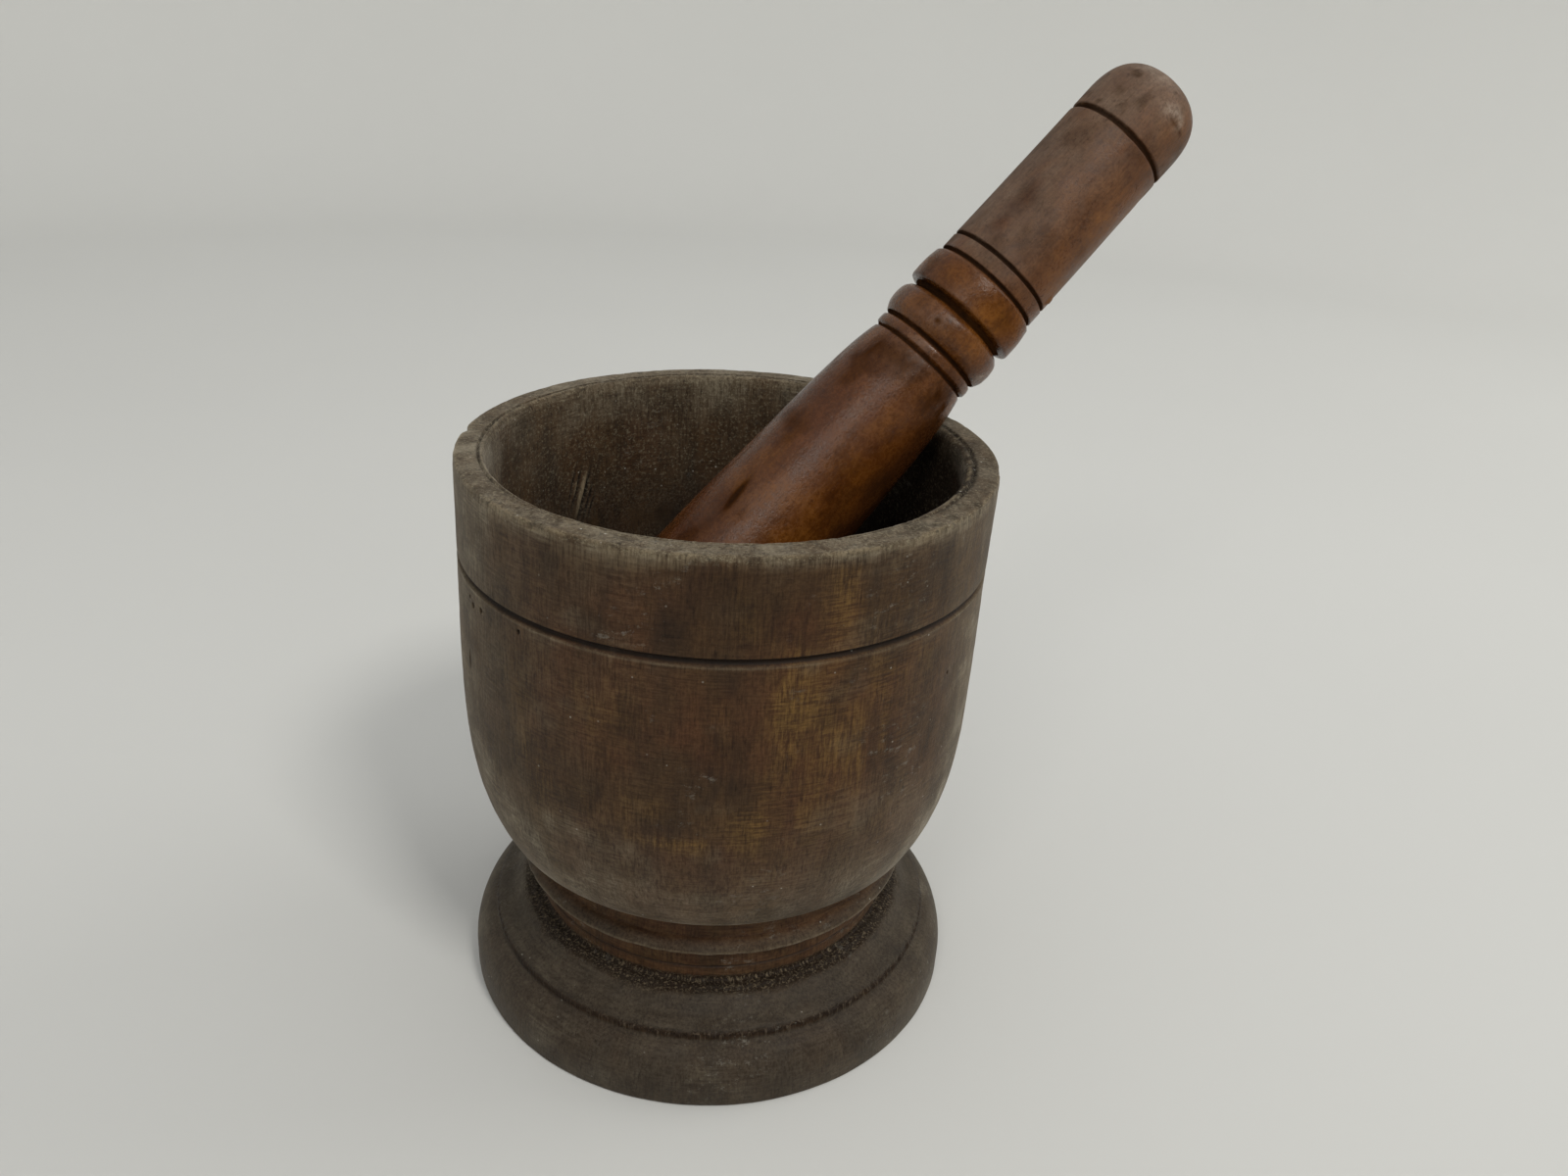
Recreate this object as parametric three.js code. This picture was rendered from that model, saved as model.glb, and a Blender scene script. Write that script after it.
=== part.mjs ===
import * as THREE from 'three';

// A turned wooden mortar with its wooden pestle leaning in it.
// Millimetres, +Z up. The origin is the centre of the foot's underside, on the mortar's axis.
// The pestle's handle leans towards +X and a little towards +Y.

// Driving dimensions of the mortar
const MORTAR_HEIGHT = 174;
const RIM_RADIUS = 76.2;
const BELLY_RADIUS = 76.3;
const MOUTH_RADIUS = 66.6;
const FLOOR_HEIGHT = 60;
const NECK_RADIUS = 56.5;
const FOOT_RADIUS = 77.5;

// Driving dimensions of the pestle
const PESTLE_LENGTH = 263;
const HANDLE_RADIUS = 16.4;
const HEAD_RADIUS = 23.6;

// Where the pestle leans: its tilt from upright, the heading of the handle from +X towards +Y,
// and the point where its axis crosses the plane of the rim
const PESTLE_TILT = THREE.MathUtils.degToRad(43.2);
const PESTLE_HEADING = THREE.MathUtils.degToRad(19.8);
const PESTLE_CROSSING = new THREE.Vector3(38.3, 16.9, MORTAR_HEIGHT);
const END_TO_CROSSING = 130.5;

const MORTAR_SEGMENTS = 64;
const PESTLE_SEGMENTS = 36;

// Points [radius, height] of an elliptical arc between two angles in degrees,
// both ends included: 0 points outwards and 90 points up.
function arc(centre, radii, from, to, steps) {
  return Array.from({ length: steps + 1 }, (_, i) => {
    const angle = THREE.MathUtils.degToRad(from + ((to - from) * i) / steps);
    return [centre[0] + radii[0] * Math.cos(angle), centre[1] + radii[1] * Math.sin(angle)];
  });
}

// Radius of a superellipse bowl that is widest at height top and closes depth below it.
function bowlRadius(height, widest, top, depth, power) {
  const sunk = Math.min(1, Math.max(0, (top - height) / depth));
  return widest * (1 - sunk ** power) ** (1 / power);
}

// Points along a bowl wall between two heights.
function bowlWall(from, to, steps, shape) {
  return Array.from({ length: steps + 1 }, (_, i) => {
    const height = from + ((to - from) * i) / steps;
    return [bowlRadius(height, ...shape), height];
  });
}

// A turned V groove in a wall of the given radius.
function groove(radius, centre, width, depth) {
  return [
    [radius, centre - width / 2],
    [radius - depth, centre],
    [radius, centre + width / 2],
  ];
}

// Turns an outline of [radius, height] points about the Z axis into a closed solid.
function turned(name, outline, segments, material) {
  const points = outline.map(([radius, height]) => new THREE.Vector2(radius, height));
  const geometry = new THREE.LatheGeometry(points, segments);
  geometry.rotateX(Math.PI / 2);
  const mesh = new THREE.Mesh(geometry, material);
  mesh.name = name;
  return mesh;
}

// The foot: a flat underside, a rounded skirt, a small step and a sloping top.
function footOutline() {
  const edge = 0.8;
  const skirtRadii = [9, 12.6];
  const skirtCentre = [FOOT_RADIUS - skirtRadii[0], 6];
  const skirtEnd = 76;
  const stepRadius = FOOT_RADIUS - 7;
  const stepTop = 20.4;
  return [
    [0, 0],
    [FOOT_RADIUS - edge, 0],
    [FOOT_RADIUS, edge],
    ...arc(skirtCentre, skirtRadii, 0, skirtEnd, 5),
    [stepRadius, stepTop],
    [stepRadius - 0.8, stepTop + 1.2],
    [stepRadius - 5.5, stepTop + 3.2],
    [NECK_RADIUS + 4.2, stepTop + 7.2],
  ];
}

// The neck: a plain band with a scribed line, a raised bead and the recess above it.
function neckOutline() {
  const bandFoot = 28.4;
  const scribedHeight = 33.2;
  const beadRadius = NECK_RADIUS + 4.8;
  const beadHeight = 42.6;
  const recessRadius = NECK_RADIUS + 1;
  return [
    [NECK_RADIUS, bandFoot],
    ...groove(NECK_RADIUS, scribedHeight, 0.8, 0.4),
    [NECK_RADIUS, beadHeight - 2],
    [beadRadius - 0.5, beadHeight - 0.8],
    [beadRadius, beadHeight],
    [beadRadius - 1.2, beadHeight + 1.8],
    [recessRadius, beadHeight + 3],
    [recessRadius, beadHeight + 7.8],
    [recessRadius + 1.2, beadHeight + 11.2],
  ];
}

// The bowl's outside: a rounded lower edge, a swelling wall with one groove, and the rim.
function bowlOutline() {
  const lowerEdge = 58.5;
  const lowerCentre = [61.3, 62.3];
  const lowerRadii = [7, 7];
  const bellyHeight = 120;
  const bellyDepth = 84;
  const bellyFullness = 3.4;
  const outside = [BELLY_RADIUS, bellyHeight, bellyDepth, bellyFullness];
  const grooveHeight = 145.8;
  const rimEdge = 1.2;
  return [
    ...arc(lowerCentre, lowerRadii, -90, -44, 2),
    ...bowlWall(lowerEdge, bellyHeight, 8, outside),
    ...groove(BELLY_RADIUS - 0.2, grooveHeight, 2.2, 1.1),
    [RIM_RADIUS, MORTAR_HEIGHT - rimEdge],
    [RIM_RADIUS - rimEdge, MORTAR_HEIGHT],
  ];
}

// The mouth and the inside: a fine groove round the rim, a small rolled lip, then the bowl's
// hollow, which is plain down to its rounded floor.
function hollowOutline() {
  const lipGroove = 69.2;
  const lipGrooveDepth = 0.7;
  const lipBase = MORTAR_HEIGHT - 3.4;
  const wallTop = 152;
  const fullness = 2.7;
  const inside = [MOUTH_RADIUS - 0.5, wallTop, wallTop - FLOOR_HEIGHT, fullness];
  const dishDepth = 9;
  const wall = bowlWall(wallTop, FLOOR_HEIGHT + dishDepth, 9, inside);
  const dishRadius = wall[wall.length - 1][0];
  const dish = [0.7, 0.35].map((share) => [
    dishRadius * share,
    FLOOR_HEIGHT + dishDepth * share ** fullness,
  ]);
  return [
    [lipGroove + 0.5, MORTAR_HEIGHT],
    [lipGroove, MORTAR_HEIGHT - lipGrooveDepth],
    [lipGroove - 0.5, MORTAR_HEIGHT],
    [MOUTH_RADIUS + 1.4, MORTAR_HEIGHT - 0.2],
    [MOUTH_RADIUS + 0.3, MORTAR_HEIGHT - 1.1],
    [MOUTH_RADIUS, lipBase],
    ...wall,
    ...dish,
    [0, FLOOR_HEIGHT],
  ];
}

// The pestle stands on its own axis here, from the working end at 0 up to the handle's tip.
// Stations along the handle are measured down from the cap groove near the tip.
const CAP_LENGTH = 22.5;

function stationHeight(station) {
  return PESTLE_LENGTH - CAP_LENGTH - station;
}

// The club-shaped head: a rounded working end, then a long taper up to the shoulder.
function headOutline() {
  const endRise = 19;
  return [
    [0, 0],
    ...arc([0, endRise], [HEAD_RADIUS, endRise], -75, 0, 6),
    [HEAD_RADIUS - 0.3, 2 * endRise],
    [HEAD_RADIUS - 2.5, stationHeight(139)],
    [HEAD_RADIUS - 4.1, stationHeight(110)],
    [HEAD_RADIUS - 5.1, stationHeight(93)],
    [HEAD_RADIUS - 6, stationHeight(87.5)],
    [HEAD_RADIUS - 6.9, stationHeight(83.6)],
  ];
}

// The turned neck between head and handle: a collar, a round bead, a deep cove and a band.
function collarOutline() {
  return [
    [16.0, stationHeight(82.8)],
    [16.9, stationHeight(82)],
    [16.8, stationHeight(79.2)],
    [16.0, stationHeight(78.4)],
    [17.4, stationHeight(77.7)],
    [18.3, stationHeight(75)],
    [18.5, stationHeight(72.4)],
    [18.1, stationHeight(70)],
    [17.0, stationHeight(68.2)],
    [15.6, stationHeight(66.9)],
    [17.6, stationHeight(65.6)],
    [18.5, stationHeight(64)],
    [18.5, stationHeight(59.6)],
    [17.7, stationHeight(55.2)],
  ];
}

// The plain handle with its pair of grooves, the cap groove and the domed tip.
function handleOutline() {
  const grooveDepth = 0.9;
  const pairWidth = 1.3;
  const capGrooveWidth = 1.8;
  const gripRadius = HANDLE_RADIUS + 0.7;
  return [
    ...groove(gripRadius, stationHeight(54.2), pairWidth, grooveDepth),
    ...groove(gripRadius, stationHeight(48.5), pairWidth, grooveDepth),
    ...groove(HANDLE_RADIUS, stationHeight(0), capGrooveWidth, grooveDepth),
    ...domeOutline(),
    [0, PESTLE_LENGTH],
  ];
}

// A blunt dome: an ellipse quarter with its shoulders filled out.
function domeOutline() {
  const rise = 17.2;
  const power = 2.8;
  const steps = 6;
  return Array.from({ length: steps }, (_, i) => {
    const angle = (Math.PI / 2) * (i / steps);
    const radius = HANDLE_RADIUS * Math.cos(angle) ** (2 / power);
    const height = PESTLE_LENGTH - rise + rise * Math.sin(angle) ** (2 / power);
    return [radius, height];
  });
}

// Leans the pestle over, with its axis through the crossing point in the rim's plane.
function leanPestle(pestle) {
  const along = new THREE.Vector3(
    Math.sin(PESTLE_TILT) * Math.cos(PESTLE_HEADING),
    Math.sin(PESTLE_TILT) * Math.sin(PESTLE_HEADING),
    Math.cos(PESTLE_TILT),
  );
  pestle.quaternion.setFromUnitVectors(new THREE.Vector3(0, 0, 1), along);
  pestle.position.copy(PESTLE_CROSSING).addScaledVector(along, -END_TO_CROSSING);
}

const mortarWood = new THREE.MeshStandardMaterial({
  name: 'mortar_wood',
  color: 0x5a4a3d,
  roughness: 0.75,
  metalness: 0,
});
const pestleWood = new THREE.MeshStandardMaterial({
  name: 'pestle_wood',
  color: 0x6b4026,
  roughness: 0.5,
  metalness: 0,
});

const mortarOutline = [...footOutline(), ...neckOutline(), ...bowlOutline(), ...hollowOutline()];
const pestleOutline = [...headOutline(), ...collarOutline(), ...handleOutline()];

const mortar = turned('mortar', mortarOutline, MORTAR_SEGMENTS, mortarWood);
const pestle = turned('pestle', pestleOutline, PESTLE_SEGMENTS, pestleWood);
leanPestle(pestle);

const mortarAndPestle = new THREE.Group();
mortarAndPestle.add(mortar, pestle);

export default mortarAndPestle;
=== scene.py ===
import math

import bmesh
import bpy
import numpy as np
from mathutils import Matrix, Vector


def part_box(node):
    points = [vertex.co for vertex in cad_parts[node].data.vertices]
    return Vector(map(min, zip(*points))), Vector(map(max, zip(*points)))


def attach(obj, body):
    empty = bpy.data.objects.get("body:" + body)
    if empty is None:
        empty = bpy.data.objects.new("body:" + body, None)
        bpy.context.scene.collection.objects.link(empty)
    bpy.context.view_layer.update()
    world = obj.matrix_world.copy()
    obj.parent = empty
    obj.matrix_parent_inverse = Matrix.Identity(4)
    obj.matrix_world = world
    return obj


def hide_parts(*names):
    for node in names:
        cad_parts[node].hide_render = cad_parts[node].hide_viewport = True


# A turned wooden mortar with its pestle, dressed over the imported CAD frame.
# Outlines, marks and relief are in millimetres, and meshes are made in metres.

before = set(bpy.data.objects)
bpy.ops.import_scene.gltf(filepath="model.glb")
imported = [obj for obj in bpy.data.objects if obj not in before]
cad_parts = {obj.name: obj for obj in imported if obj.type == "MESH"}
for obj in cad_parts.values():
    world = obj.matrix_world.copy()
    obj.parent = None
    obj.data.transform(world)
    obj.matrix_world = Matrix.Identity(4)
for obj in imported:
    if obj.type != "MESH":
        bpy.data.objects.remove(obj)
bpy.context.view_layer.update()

MM = 0.001

# The mortar's driving dimensions. The frame gives the foot and the height.
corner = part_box("mortar")[1]
FOOT_RADIUS = corner.x / MM
MORTAR_HEIGHT = corner.z / MM
RIM_RADIUS = FOOT_RADIUS - 1.3
BELLY_RADIUS = FOOT_RADIUS - 1.2
MOUTH_RADIUS = FOOT_RADIUS - 10.9
NECK_RADIUS = FOOT_RADIUS - 21.0
STEP_RADIUS = FOOT_RADIUS - 7.0
FLOOR_HEIGHT = 60.0
DISH_DEPTH = 9.0
LOWER_EDGE = 58.5
BELLY_HEIGHT = 120.0
WALL_TOP = 152.0
GROOVE_HEIGHT = 145.8
SCRIBED_HEIGHT = 33.2
LIP_GROOVE = 69.2

# The bowl's outside and inside, as bowl_radius takes them:
# widest radius, height where it is widest, depth and fullness
OUTSIDE = (BELLY_RADIUS, BELLY_HEIGHT, 84.0, 3.4)
INSIDE = (MOUTH_RADIUS - 0.5, WALL_TOP, WALL_TOP - FLOOR_HEIGHT, 2.7)

# The pestle's driving dimensions. It leans from upright, heading from +X towards +Y,
# with its axis through a point in the rim's plane.
PESTLE_LENGTH = 263.0
CAP_LENGTH = 22.5
HANDLE_RADIUS = 16.4
HEAD_RADIUS = 23.6
PESTLE_TILT = math.radians(43.2)
PESTLE_HEADING = math.radians(19.8)
PESTLE_CROSSING = (38.3, 16.9, MORTAR_HEIGHT)
END_TO_CROSSING = 130.5

MORTAR_SEGMENTS = 352
PESTLE_SEGMENTS = 208


# ---- outlines


def line(start, end, step):
    """Points from start to end, about step apart."""
    start, end = np.array(start, float), np.array(end, float)
    count = max(1, round(np.linalg.norm(end - start) / step))
    share = np.linspace(0, 1, count + 1)[:, None]
    return start + (end - start) * share


def arc(centre, radii, begin, stop, step):
    """Points on an elliptical arc: 0 degrees points outwards and 90 points up."""
    sweep = abs(math.radians(stop - begin)) * sum(radii) / 2
    angle = np.radians(np.linspace(begin, stop, max(2, round(sweep / step) + 1)))
    return np.array(centre) + np.stack([np.cos(angle), np.sin(angle)], 1) * np.array(radii)


def bowl_radius(height, widest, top, depth, power):
    """Radius of a superellipse bowl, widest at height top and closed depth below it."""
    sunk = np.clip((top - np.asarray(height, float)) / depth, 0, 1)
    return widest * (1 - sunk**power) ** (1 / power)


def bowl_wall(begin, stop, step, shape):
    """Points down or up a bowl's wall between two heights."""
    height = line((begin, 0), (stop, 0), step)[:, 0]
    return np.stack([bowl_radius(height, *shape), height], 1)


def curve(points, step):
    """A smooth curve through a few points, as a Catmull-Rom spline."""
    points = np.array(points, float)
    ends = np.vstack([2 * points[0] - points[1], points, 2 * points[-1] - points[-2]])
    parts = [points[:1]]
    for before, a, b, after in zip(ends, ends[1:], ends[2:], ends[3:]):
        count = max(1, round(np.linalg.norm(b - a) / step))
        t = (np.arange(1, count + 1) / count)[:, None]
        square = 2 * before - 5 * a + 4 * b - after
        cube = 3 * a - before - 3 * b + after
        parts.append(0.5 * (2 * a + (b - before) * t + square * t**2 + cube * t**3))
    return np.vstack(parts)


def turned_groove(radius, centre, width, depth):
    """A rounded V groove in a wall, from its lower edge up."""
    share = np.linspace(-1, 1, 7)
    sunk = depth * (1 - np.abs(share) ** 1.4)
    return np.stack([radius - sunk, centre + share * width / 2], 1)


def joined(*parts):
    """One outline from several, with the points they share kept once."""
    points = np.vstack([np.atleast_2d(part) for part in parts])
    gap = np.linalg.norm(np.diff(points, axis=0), axis=1)
    return points[np.concatenate([[True], gap > 0.02])]


def foot_outline():
    """Flat underside, rounded skirt, small step and a dished, sloping top."""
    edge = 0.8
    skirt = arc((FOOT_RADIUS - 9, 6), (9, 12.6), 4, 76, 1.1)
    step_top = (STEP_RADIUS, 20.4)
    slope_top = (STEP_RADIUS - 2.2, 22.2)
    slope_end = (NECK_RADIUS + 4.6, 27.3)
    return joined(
        line((0, 0), (FOOT_RADIUS - edge - 2, 0), 9),
        arc((FOOT_RADIUS - edge, edge), (edge, edge), -90, 0, 0.4),
        skirt,
        line(skirt[-1], (STEP_RADIUS, 18.7), 0.3),
        line((STEP_RADIUS, 18.9), step_top, 0.35),
        curve([step_top, (STEP_RADIUS - 0.8, 21.5), slope_top], 0.45),
        curve([slope_top, (STEP_RADIUS - 5.5, 23.7), slope_end], 0.9),
        curve([slope_end, (NECK_RADIUS + 2.2, 28.3), (NECK_RADIUS, 28.4)], 0.45),
    )


def neck_outline():
    """Plain band with a scribed line, a raised bead and the recess above it."""
    bead = NECK_RADIUS + 4.8
    recess = NECK_RADIUS + 1
    return joined(
        line((NECK_RADIUS, 28.7), (NECK_RADIUS, SCRIBED_HEIGHT - 0.6), 0.8),
        turned_groove(NECK_RADIUS, SCRIBED_HEIGHT, 0.9, 0.45),
        line((NECK_RADIUS, SCRIBED_HEIGHT + 0.7), (NECK_RADIUS, 40.4), 1.1),
        curve([(NECK_RADIUS, 40.6), (bead - 0.6, 41.7), (bead, 42.5), (bead - 0.5, 43.5)], 0.5),
        curve([(bead - 0.5, 43.5), (bead - 1.7, 44.7), (recess, 45.8)], 0.6),
        curve([(recess, 46.2), (recess - 0.3, 48.4), (recess, 50.6), (recess + 1.4, 53.9)], 0.9),
    )


def bowl_outline():
    """Rounded lower edge, swelling wall, its groove, and the rim's outer edge."""
    rim_edge = 1.2
    wall = BELLY_RADIUS - 0.2
    return joined(
        arc((61.3, 62.3), (7, 7), -88, -36, 0.8),
        bowl_wall(LOWER_EDGE, BELLY_HEIGHT, 2.4, OUTSIDE),
        line((BELLY_RADIUS, BELLY_HEIGHT + 2.4), (wall, GROOVE_HEIGHT - 2.6), 2.6),
        line((wall, GROOVE_HEIGHT - 2.2), (wall, GROOVE_HEIGHT - 1.4), 0.4),
        turned_groove(wall, GROOVE_HEIGHT, 2.4, 1.3),
        line((wall, GROOVE_HEIGHT + 1.4), (wall, GROOVE_HEIGHT + 2.2), 0.4),
        line((wall, GROOVE_HEIGHT + 3), (RIM_RADIUS, MORTAR_HEIGHT - 3), 1.9),
        line((RIM_RADIUS, MORTAR_HEIGHT - 2.6), (RIM_RADIUS, MORTAR_HEIGHT - rim_edge), 0.5),
        arc((RIM_RADIUS - rim_edge, MORTAR_HEIGHT - rim_edge), (rim_edge, rim_edge), 0, 90, 0.45),
    )


def hollow_outline():
    """The rim's top with its fine groove, the rolled lip, and the bowl's inside."""
    top = MORTAR_HEIGHT
    wall = bowl_wall(WALL_TOP - 3, FLOOR_HEIGHT + DISH_DEPTH, 3.0, INSIDE)
    share = np.linspace(0.86, 0, 9)[:, None]
    floor = np.hstack([wall[-1][0] * share, FLOOR_HEIGHT + DISH_DEPTH * share ** INSIDE[3]])
    groove = [
        (LIP_GROOVE + 0.35, top - 0.15),
        (LIP_GROOVE, top - 0.75),
        (LIP_GROOVE - 0.35, top - 0.2),
    ]
    lip = [
        (LIP_GROOVE - 0.6, top),
        (MOUTH_RADIUS + 1.4, top - 0.15),
        (MOUTH_RADIUS + 0.35, top - 1.1),
        (MOUTH_RADIUS - 0.05, top - 3.4),
        (MOUTH_RADIUS - 0.3, top - 9),
    ]
    return joined(
        line((RIM_RADIUS - 1.6, top), (LIP_GROOVE + 0.6, top), 0.6),
        groove,
        curve(lip, 0.55),
        line((MOUTH_RADIUS - 0.35, top - 11), (MOUTH_RADIUS - 0.5, WALL_TOP), 2.4),
        wall,
        floor,
    )


def at(radius, station):
    """A point of the pestle's outline. Stations are counted down from the cap groove."""
    return (radius, PESTLE_LENGTH - CAP_LENGTH - station)


def head_outline():
    """The rounded working end, the club head and its shoulder."""
    end = arc((0, 19), (HEAD_RADIUS, 19), -90, 0, 1.4)
    head = [end[-1], (HEAD_RADIUS - 0.3, 38), at(22.2, 160), at(21.1, 139), at(19.6, 110), at(19.05, 102)]
    shoulder = [head[-1], at(18.45, 95), at(17.75, 89.5), at(17.0, 85.5), at(16.5, 83.5)]
    return joined(end, curve(head, 1.6), curve(shoulder, 0.8))


def collar_outline():
    """Collar, bead, cove and band, with a dark line cut between each two."""
    bead = [at(17.2, 77.7), at(18.2, 75.5), at(18.5, 72.6), at(18.1, 69.8), at(17.0, 68.2)]
    cove = [at(16.2, 67.8), at(15.4, 67.0), at(15.8, 66.3), at(17.6, 65.75)]
    band = [at(18.3, 65.5), at(18.55, 65.0), at(18.6, 62.0), at(18.45, 59), at(17.9, 55.6)]
    return joined(
        [at(16.0, 83.1), at(15.9, 82.8), at(16.3, 82.4), at(16.9, 81.9)],
        curve([at(16.95, 81.6), at(17.0, 80.5), at(16.8, 79.3)], 0.6),
        [at(16.2, 78.8), at(15.9, 78.4), at(16.6, 78.0)],
        curve(bead, 0.5),
        curve(cove, 0.35),
        curve(band, 0.5),
    )


def handle_outline():
    """The grip with its pair of grooves, the cap groove, the cap and its dome."""
    angle = np.linspace(0, math.pi / 2, 22)
    rise, power = 17.2, 2.8
    dome_radius = HANDLE_RADIUS * np.cos(angle) ** (2 / power)
    dome_height = PESTLE_LENGTH - rise + rise * np.sin(angle) ** (2 / power)
    dome = np.stack([dome_radius, dome_height], 1)
    dome[-1, 0] = 0
    return joined(
        turned_groove(*at(17.15, 54.2), 1.4, 1.0),
        line(at(17.15, 53.2), at(17.1, 49.5), 0.9),
        turned_groove(*at(17.1, 48.5), 1.4, 1.0),
        curve([at(17.1, 47.5), at(16.95, 38), at(16.6, 15), at(16.45, 1.4)], 1.6),
        turned_groove(*at(HANDLE_RADIUS, 0), 2.0, 1.0),
        line(at(HANDLE_RADIUS, -1.3), at(HANDLE_RADIUS, -4.8), 1.2),
        dome,
    )


# ---- noise and masks


def hashed(cell, seed):
    """A repeatable number from 0 to 1 for each whole-numbered cell."""
    mixed = cell @ np.array([127.1, 311.7, 74.7]) + seed * 53.13
    value = np.sin(mixed) * 43758.5453
    return value - np.floor(value)


def noise(points, size, seed=0):
    """Smooth value noise from 0 to 1, with features of one size or of three."""
    scaled = points / np.asarray(size, float)
    cell = np.floor(scaled)
    share = scaled - cell
    share = share * share * (3 - 2 * share)
    total = np.zeros(len(points))
    for corner in np.ndindex(2, 2, 2):
        corner = np.array(corner)
        weight = np.prod(np.where(corner == 1, share, 1 - share), axis=1)
        total += weight * hashed(cell + corner, seed)
    return total


def layered(points, size, seed=0, layers=3):
    """Noise with finer, weaker layers on top."""
    total, weight, reach = 0, 1, 0
    for layer in range(layers):
        total = total + weight * noise(points, np.asarray(size) / 2**layer, seed + layer)
        reach += weight
        weight /= 2
    return total / reach


def ramp(value, low, high):
    """Smoothly 0 at low to 1 at high, downwards when low is above high."""
    share = np.clip((value - low) / (high - low), 0, 1)
    return share * share * (3 - 2 * share)


def hump(value, centre, spread):
    """1 at the centre, falling smoothly away over the spread."""
    return np.exp(-(((value - centre) / spread) ** 2))


def patchy(points, size, seed, low, high, layers=3):
    """Soft-edged patches: 0 where the noise is below low, 1 where it is above high."""
    return ramp(layered(points, size, seed, layers), low, high)


def turn_from(heading, centre):
    """Degrees from one heading to another, from -180 to 180."""
    return (heading - centre + 180) % 360 - 180


class Places:
    """A turned piece's vertices in millimetres and degrees, called on in what follows."""

    def __init__(self, points):
        x, y, self.z = points.T
        self.points = points
        self.radius = np.hypot(x, y)
        self.heading = np.degrees(np.arctan2(y, x))

    def away(self, heading):
        """Degrees from a heading, to either side."""
        return np.abs(turn_from(self.heading, heading))

    def facing(self, heading, spread):
        """1 at a heading, falling smoothly away over the spread in degrees."""
        return hump(self.away(heading), 0, spread)


# ---- meshes


def lathe(name, outline, segments):
    """A closed mesh turned about Z, with its UV layer."""
    radius, height = outline[1:-1].T
    angle = np.arange(segments) * 2 * math.pi / segments
    level = np.repeat(height[:, None], segments, 1)
    rings = np.stack([np.outer(radius, np.cos(angle)), np.outer(radius, np.sin(angle)), level], -1)
    ends = [[0, 0, outline[0, 1]], [0, 0, outline[-1, 1]]]
    points = np.vstack([rings.reshape(-1, 3), ends]) * MM
    bottom, top = len(points) - 2, len(points) - 1
    column = np.arange(segments)
    after = (column + 1) % segments
    low = np.arange(len(radius) - 1)[:, None] * segments
    high = low + segments
    quads = np.stack([low + column, low + after, high + after, high + column], -1)
    faces = quads.reshape(-1, 4).tolist()
    faces += [[bottom, b, a] for a, b in zip(column.tolist(), after.tolist())]
    faces += [[top, a, b] for a, b in zip((high[-1] + column).tolist(), (high[-1] + after).tolist())]
    mesh = bpy.data.meshes.new(name)
    mesh.from_pydata(points.tolist(), [], faces)
    travel = np.cumsum(np.linalg.norm(np.diff(outline, axis=0), axis=1))
    add_bake_map(mesh, segments, travel[:-1] / travel[-1])
    return mesh


def add_bake_map(mesh, segments, along):
    """UVs: round the piece from left to right, and along its outline from bottom to top."""
    left = np.arange(segments) / segments
    middle, right = left + 0.5 / segments, left + 1 / segments
    rows = len(along) - 1
    lefts, rights = np.tile(left, rows), np.tile(right, rows)
    low, high = np.repeat(along[:-1], segments), np.repeat(along[1:], segments)
    first, last = np.full(segments, along[0]), np.full(segments, along[-1])
    kinds = [
        [(lefts, low), (rights, low), (rights, high), (lefts, high)],
        [(middle, np.zeros(segments)), (right, first), (left, first)],
        [(middle, np.ones(segments)), (left, last), (right, last)],
    ]
    uv = [np.stack([np.stack(corner, 1) for corner in kind], 1).reshape(-1, 2) for kind in kinds]
    margin = 0.004
    uv = np.vstack(uv) * (1 - 2 * margin) + margin
    layer = mesh.uv_layers.new(name="OFBake")
    layer.data.foreach_set("uv", uv.astype(np.float32).ravel())


def refine(mesh, chosen, cuts):
    """Cuts the faces whose centre is chosen into finer ones."""
    work = bmesh.new()
    work.from_mesh(mesh)
    edges = set()
    for face in work.faces:
        if chosen(face.calc_center_median()):
            edges.update(face.edges)
    bmesh.ops.subdivide_edges(work, edges=list(edges), cuts=cuts, use_grid_fill=True)
    bmesh.ops.triangulate(work, faces=[f for f in work.faces if len(f.verts) > 4])
    work.to_mesh(mesh)
    work.free()


def read_vertices(mesh, what):
    """Each vertex's place, "co", in metres, or its "normal"."""
    values = np.zeros(len(mesh.vertices) * 3, np.float32)
    mesh.vertices.foreach_get(what, values)
    return values.reshape(-1, 3).astype(float)


def push(mesh, points, normals, height):
    """Moves each vertex along its normal by its own height in millimetres."""
    moved = (points + normals * height[:, None]) * MM
    mesh.vertices.foreach_set("co", moved.astype(np.float32).ravel())
    mesh.update()


def paint(mesh, points, masks):
    """Stores the wood's own coordinates, and each mask clipped to 0 to 1."""
    place = mesh.attributes.new("wood_place", "FLOAT_VECTOR", "POINT")
    place.data.foreach_set("vector", (points * MM).astype(np.float32).ravel())
    for name, mask in masks.items():
        layer = mesh.attributes.new(name, "FLOAT", "POINT")
        layer.data.foreach_set("value", np.clip(mask, 0, 1).astype(np.float32))


def placed(name, mesh, part, material):
    """Puts a finished mesh in place of its CAD part, whose node and body share a name."""
    mesh.shade_smooth()
    mesh.materials.append(material)
    piece = bpy.data.objects.new(name, mesh)
    bpy.context.scene.collection.objects.link(piece)
    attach(piece, part)
    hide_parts(part)


# ---- the mortar's surface

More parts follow.
